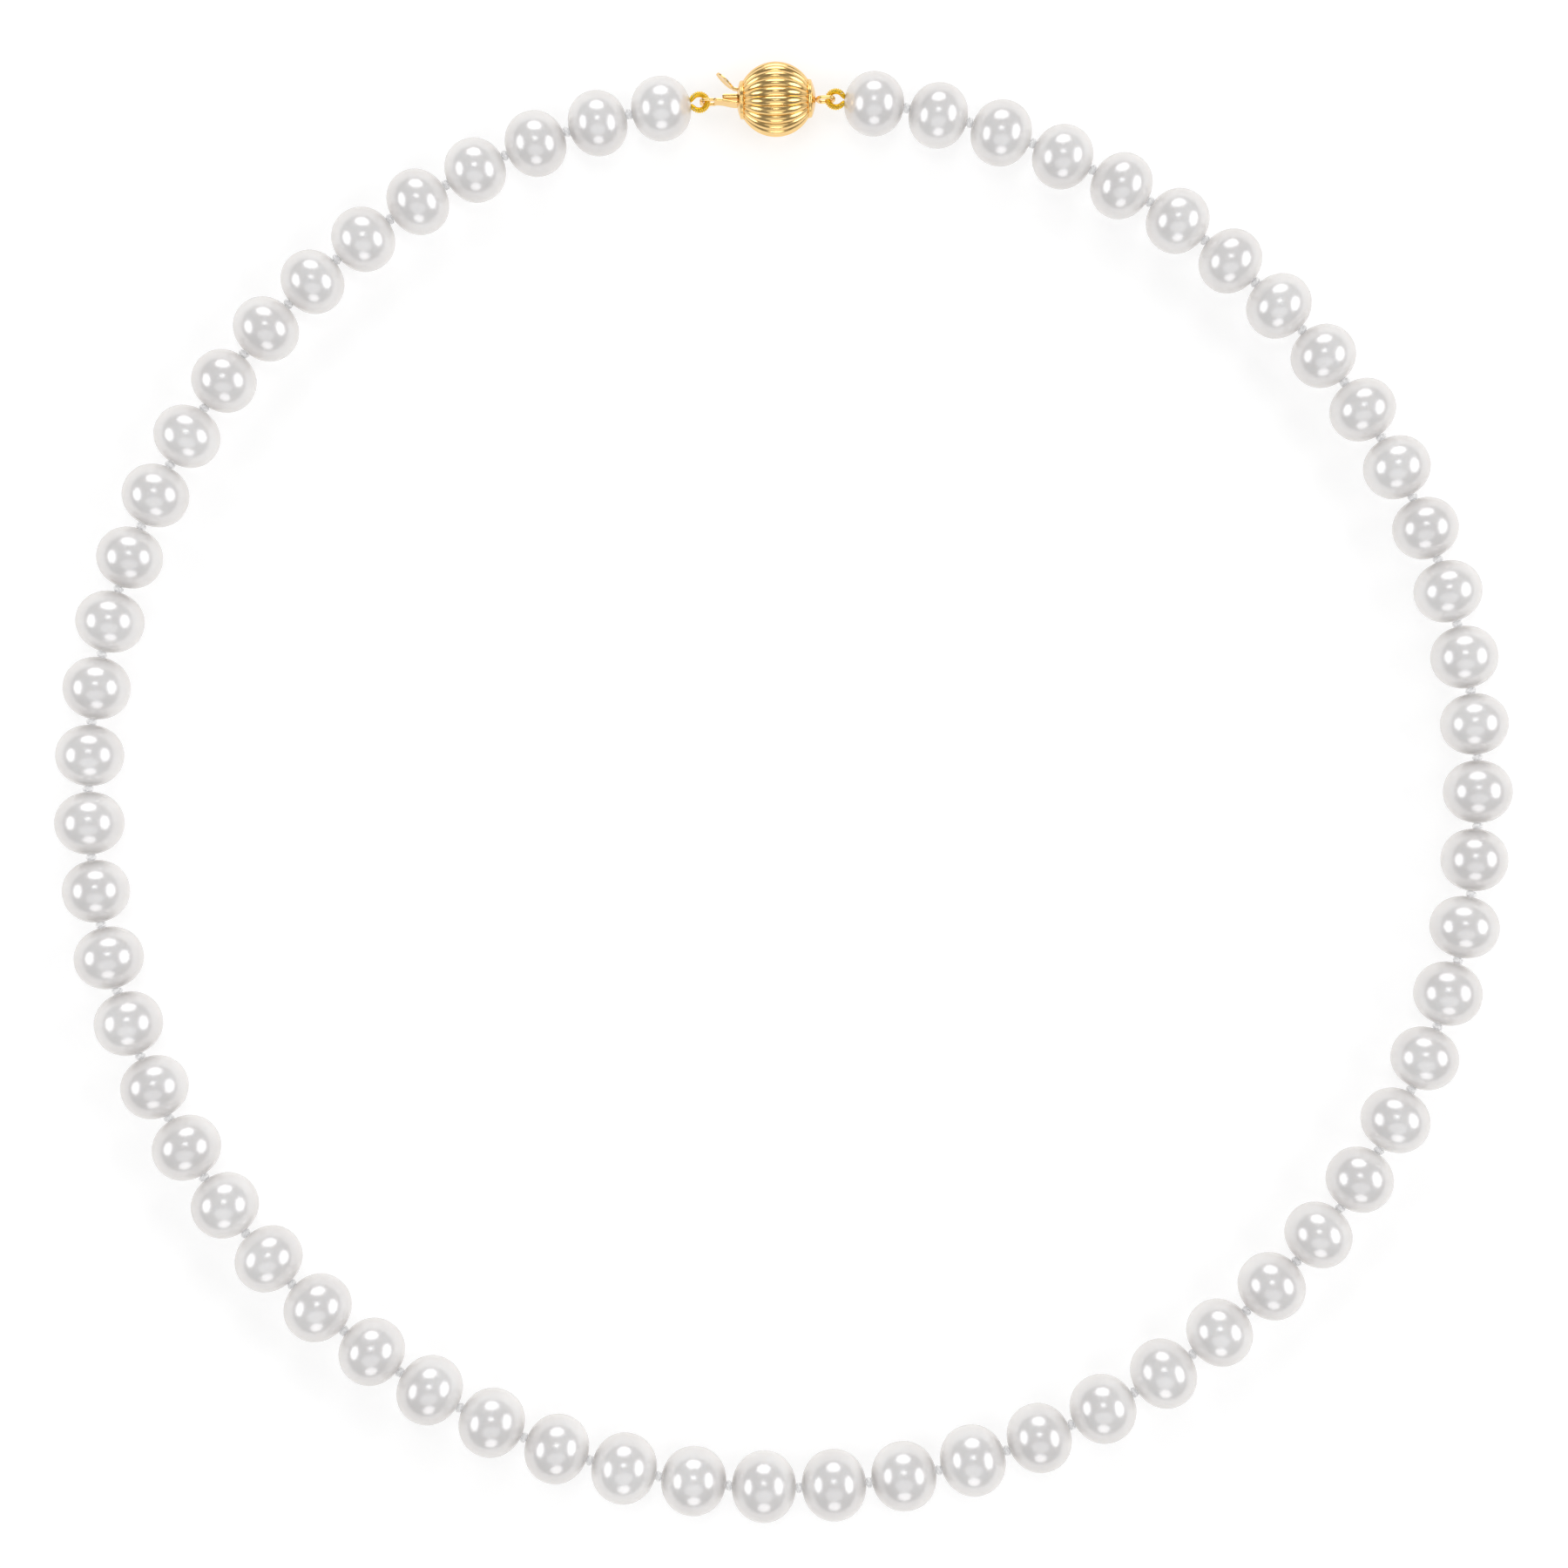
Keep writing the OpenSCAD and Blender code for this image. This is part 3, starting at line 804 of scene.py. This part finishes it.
def cutter(x, y, z):
    """A box in the clasp's frame as a loose object, from (low, high) along each of its axes."""
    corners = np.array([[a, b, c] for a in x for b in y for c in z])
    box = bmesh.new()
    verts = [box.verts.new(p) for p in clasp(*corners.T)]
    bmesh.ops.convex_hull(box, input=verts)
    bmesh.ops.recalc_face_normals(box, faces=box.faces)
    mesh = bpy.data.meshes.new("cutter")
    box.to_mesh(mesh)
    box.free()
    obj = bpy.data.objects.new("cutter", mesh)
    bpy.context.scene.collection.objects.link(obj)
    return obj


def ring_path(x_low, x_high, half, corner, count=10):
    """A closed rounded rectangle in the clasp's X-Z plane, as points in the necklace."""
    centres = [(x_high - corner, half - corner, 0), (x_low + corner, half - corner, 90),
               (x_low + corner, corner - half, 180), (x_high - corner, corner - half, 270)]
    rows = np.concatenate([arc((x, z), corner, a, a + 90, count) for x, z, a in centres])
    return clasp(rows[:, 0], 0.0, rows[:, 1])


class NECKLACE_OT_ball(Operator):
    """Makes the fluted ball with its two caps and its ring"""
    bl_idname = "necklace.ball"
    bl_label = "Ball"

    def execute(self, context):
        """The collars are beads round the shell's two open ends. The mouth is two slots that
        overlap: a wide one for the tongue and its leaf, and a narrow one above it for the thumb
        tab's neck."""
        own = settings("clasp")
        gold = yellow_gold("polished_gold", own.colour, own.worn, 0.19)
        piece("fluted_ball_shell", [fluted_shell(own)], gold, "ball", "gold", "fluted_ball")
        low, high = clasp_box("fluted_ball")
        middle = (low + high) / 2
        collar_radius, bead_radius = 1.93 * MM, 0.13 * MM
        turn = np.linspace(0, 2 * pi, 96, endpoint=False)
        for name, x in (("mouth_collar", low[0]), ("end_collar", high[0])):
            path = clasp(x, middle[1] + collar_radius * np.cos(turn), collar_radius * np.sin(turn))
            bead = grid(carried(path, CLASP_X, circle(bead_radius, 14), closed=True), along=True)
            piece(name, [bead], gold, "ball", "gold", "fluted_ball")
        domes = {}
        for node, outward in (("end_cap", 1), ("mouth_cap", -1)):
            dome = grid(turned(cap_profile(node, outward), node), ends=True)
            domes[node] = piece(f"{node}_dome", [dome], gold, "ball", "gold", node)
        mouth_low, mouth_high = clasp_box("mouth_cap")
        through = (mouth_low[0] - 1 * MM, mouth_high[0] + 1 * MM)
        play = 0.12 * MM
        slots = ((own.tongue_width, -0.64 * MM, 0.97 * MM), (own.neck, 0.6 * MM, 1.62 * MM))
        for width, bottom, top in slots:
            half = width / 2 + play
            cut_slot(domes["mouth_cap"], cutter(through, (bottom, top), (-half, half)))
        ring_low, ring_high = clasp_box("ball_ring")
        thick, corner = own.ring_wire / 2, 0.42 * MM
        path = ring_path(ring_low[0] + thick, ring_high[0] - thick, ring_high[2] - thick, corner)
        ring = grid(carried(path, CLASP_Y, circle(thick, 16), closed=True), along=True)
        piece("ball_ring_wire", [ring], gold, "ball", "gold", "ball_ring")
        return {"FINISHED"}


# ---------------------------------------------------------------- tongue

def strip(line, thick, width, softness=0.3):
    """A metal strip with softened edges along (x, y) rows of the clasp's frame."""
    path = clasp(line[:, 0], line[:, 1])
    return grid(carried(path, CLASP_Z, softened_box(thick, width, softness)), ends=True)


def bent(rows, step=0.08 * MM):
    """(x, y) rows resampled evenly."""
    flat = np.column_stack([rows, np.zeros(len(rows))])
    return even_path(flat, step)[:, :2]


def tab_blade(own, foot):
    """The thumb tab: a narrow neck from the foot, then an oval blade whose width goes as the root
    of one less the square of the place along it, dished so that its middle is the thinnest."""
    slope = radians(168)
    knee = foot + 1.15 * MM * np.array([np.cos(slope), np.sin(slope)])
    rise = knee + np.array([-0.42, 0.24]) * MM
    low, high = clasp_box("thumb_tab")
    tip = np.array([low[0] + 0.06 * MM, high[1] - 0.06 * MM])
    knees = np.column_stack([[foot, knee, rise, tip], np.zeros(4)])
    line = smooth_path(knees, 0.06 * MM)[:, :2]
    reach = reach_along(line)
    from_tip = (reach[-1] - reach) / (2.35 * MM)
    oval = own.tab * np.sqrt(np.clip(1 - (2 * from_tip - 1) ** 2, 0, 1))
    width = np.maximum(oval, np.where(from_tip > 0.9, own.neck, 0.12 * MM))
    outline = softened_box(np.full_like(width, own.leaf), width[:, None], 0.3)
    edge = abs(outline[..., 1]) / (width[:, None] / 2)
    dish = 1 - 0.55 * np.clip(1 - edge ** 3, 0, 1) * (width > own.neck * 1.1)[:, None]
    outline[..., 0] *= dish
    return grid(carried(clasp(line[:, 0], line[:, 1]), CLASP_Z, outline), ends=True)


class NECKLACE_OT_tongue(Operator):
    """Makes the tongue with its eye, spring leaf, thumb tab and safety hook"""
    bl_idname = "necklace.tongue"
    bl_label = "Tongue"

    def execute(self, context):
        """Each strip is drawn as its line seen from above, in millimetres of the clasp's frame: the
        tongue from its eye to the fold, the hook over it with its end rolled back, the leaf from
        the fold to the mouth, and the tab from there up along its neck to the tip of its oval
        blade."""
        own = settings("clasp")
        gold = yellow_gold("rolled_gold", own.colour, own.worn, 0.17)
        fold = CLASP_AXES @ (np.array(joint("thumb_press")["pos_m"]) - CLASP_AT)
        bend = 0.3 * MM
        tail_y = fold[1] - bend
        tail = np.array([[-5.35, 0], [-5.1, 0], [-4.7, -0.05], [-3.8, -0.28], [-3.4, -0.345]]) * MM
        tail = np.concatenate([tail, [[-3.0 * MM, tail_y]], arc(fold, bend, -90, 78, 14)])
        eye = ring_path(-EYE_X, -5.4 * MM, 0.65 * MM, 0.28 * MM)
        eye_edge = softened_box(0.4 * MM, own.tongue, 0.45)
        plate = grid(carried(eye, CLASP_Y, eye_edge, closed=True), along=True)
        piece("tongue_strip", [strip(bent(tail), own.tongue, own.tongue_width), plate], gold,
              "tongue", "gold", "tongue")

        low = tail_y + own.tongue / 2 + own.hook / 2
        high = low + 0.38 * MM
        roll = 0.14 * MM
        rolled = np.concatenate([arc((-4.5 * MM, high + roll), roll, 270, 90, 14),
                                 [[-3.0 * MM, high + 0.27 * MM]]])
        rise = np.array([[0.8 * MM, low], [-0.1 * MM, low], [-0.4 * MM, low + 0.04 * MM],
                         [-1.3 * MM, high - 0.05 * MM], [-1.7 * MM, high]])
        hook = strip(bent(np.concatenate([rise, rolled])), own.hook, own.tongue_width - 0.2 * MM)
        piece("safety_hook_strip", [hook], gold, "tongue", "gold", "safety_hook")

        leaf_end = clasp_box("spring_leaf")[1][0]
        start = np.array([leaf_end - 0.03 * MM, 0.23 * MM])
        end = np.array([-2.2, 1.13]) * MM
        leaf = strip(bent(np.stack([start, end])), own.leaf, own.tongue_width)
        piece("spring_leaf_strip", [leaf], gold, "spring_leaf", "gold", "spring_leaf")
        piece("thumb_tab_blade", [tab_blade(own, end)], gold, "spring_leaf", "gold", "thumb_tab")
        return {"FINISHED"}


# ---------------------------------------------------------------- stage

def softbox(name, bearing, lean, wide, tall, radiance):
    """A far oval softbox that faces the necklace. bearing is the turn from +X and lean the angle
    from straight up, in degrees; wide and tall are the angles that it fills; its power is radiance
    times area times pi."""
    data = bpy.data.lights.new(name, "AREA")
    data.shape = "ELLIPSE"
    data.size, data.size_y = (2 * FAR * np.tan(np.radians([wide, tall]) / 2)).tolist()
    data.energy = radiance * pi * data.size * data.size_y * pi / 4
    lamp = bpy.data.objects.new(name, data)
    bpy.context.scene.collection.objects.link(lamp)
    turn, lean = radians(bearing), radians(lean)
    way = Vector((np.sin(lean) * np.cos(turn), np.sin(lean) * np.sin(turn), np.cos(lean)))
    lamp.location = way * FAR
    lamp.rotation_euler = way.to_track_quat("Z", "Y").to_euler()


class NECKLACE_OT_stage(Operator):
    """Makes the floor, the softboxes and the camera"""
    bl_idname = "necklace.stage"
    bl_label = "Stage"

    def execute(self, context):
        own = settings("stage")
        scene = context.scene
        scene.view_settings.view_transform = "Standard"
        mesh = bpy.data.meshes.new("floor")
        edge = 8 * FAR
        corners = [(-edge, -edge, 0), (edge, -edge, 0), (edge, edge, 0), (-edge, edge, 0)]
        mesh.from_pydata(corners, [], [(0, 1, 2, 3)])
        floor = bpy.data.objects.new("floor", mesh)
        scene.collection.objects.link(floor)
        mesh.materials.append(studio_white(own.floor, own.glow))

        world = bpy.data.worlds.new("surround")
        world.use_nodes = True
        world.node_tree.nodes["Background"].inputs["Color"].default_value = solid(own.surround)
        scene.world = world
        for name, bearing, lean, wide, tall, share in (
                ("softbox_back", 90, 64, 44, 34, 1.0),
                ("softbox_left", 178, 61, 40, 32, 1.0),
                ("softbox_right", 2, 58, 46, 36, 1.0),
                ("softbox_front", -90, 66, 34, 32, 0.7),
                ("softbox_top", 90, 16, 18, 12, 1.1),
                ("scrim_front", -90, 28, 60, 40, 0.25)):
            softbox(name, bearing, lean, wide, tall, own.key * share)

        data = bpy.data.cameras.new("camera")
        data.lens = 135
        data.sensor_width = 36
        distance = own.span * data.lens / data.sensor_width
        data.clip_end = 10
        camera = bpy.data.objects.new("camera", data)
        scene.collection.objects.link(camera)
        aim_height = (CAD_BOX[0][2] + CAD_BOX[1][2]) / 2
        camera.location = (0.1 * MM, 0.87 * MM, aim_height + distance)
        camera.rotation_euler = (0, 0, own.roll)
        scene.camera = camera
        return {"FINISHED"}


# ---------------------------------------------------------------- panel and run

OPERATORS = (NECKLACE_OT_stage, NECKLACE_OT_pearls, NECKLACE_OT_silk, NECKLACE_OT_french_wire,
             NECKLACE_OT_ball, NECKLACE_OT_tongue)


class NECKLACE_PT_panel(Panel):
    """Lists the necklace's pieces and their settings"""
    bl_idname = "NECKLACE_PT_panel"
    bl_label = "Pearl necklace"
    bl_space_type = "VIEW_3D"
    bl_region_type = "UI"
    bl_category = "Necklace"

    def draw(self, context):
        for operator in OPERATORS:
            self.layout.operator(operator.bl_idname)
        for name, group in SETTINGS.items():
            box = self.layout.box()
            box.label(text=group.__doc__)
            for prop in group.__annotations__:
                box.prop(settings(name), prop)


def register():
    """Adds the settings, the operators and the panel."""
    for name, group in SETTINGS.items():
        bpy.utils.register_class(group)
        setattr(bpy.types.Scene, f"necklace_{name}", PointerProperty(type=group))
    for kind in (*OPERATORS, NECKLACE_PT_panel):
        bpy.utils.register_class(kind)


def unregister():
    """Takes them away again."""
    for kind in reversed((*OPERATORS, NECKLACE_PT_panel)):
        bpy.utils.unregister_class(kind)
    for name, group in SETTINGS.items():
        delattr(bpy.types.Scene, f"necklace_{name}")
        bpy.utils.unregister_class(group)


def main():
    """Makes the whole necklace on its stage."""
    register()
    for make in (bpy.ops.necklace.stage, bpy.ops.necklace.pearls, bpy.ops.necklace.silk,
                 bpy.ops.necklace.french_wire, bpy.ops.necklace.ball, bpy.ops.necklace.tongue):
        make()


if __name__ == "__main__":
    main()
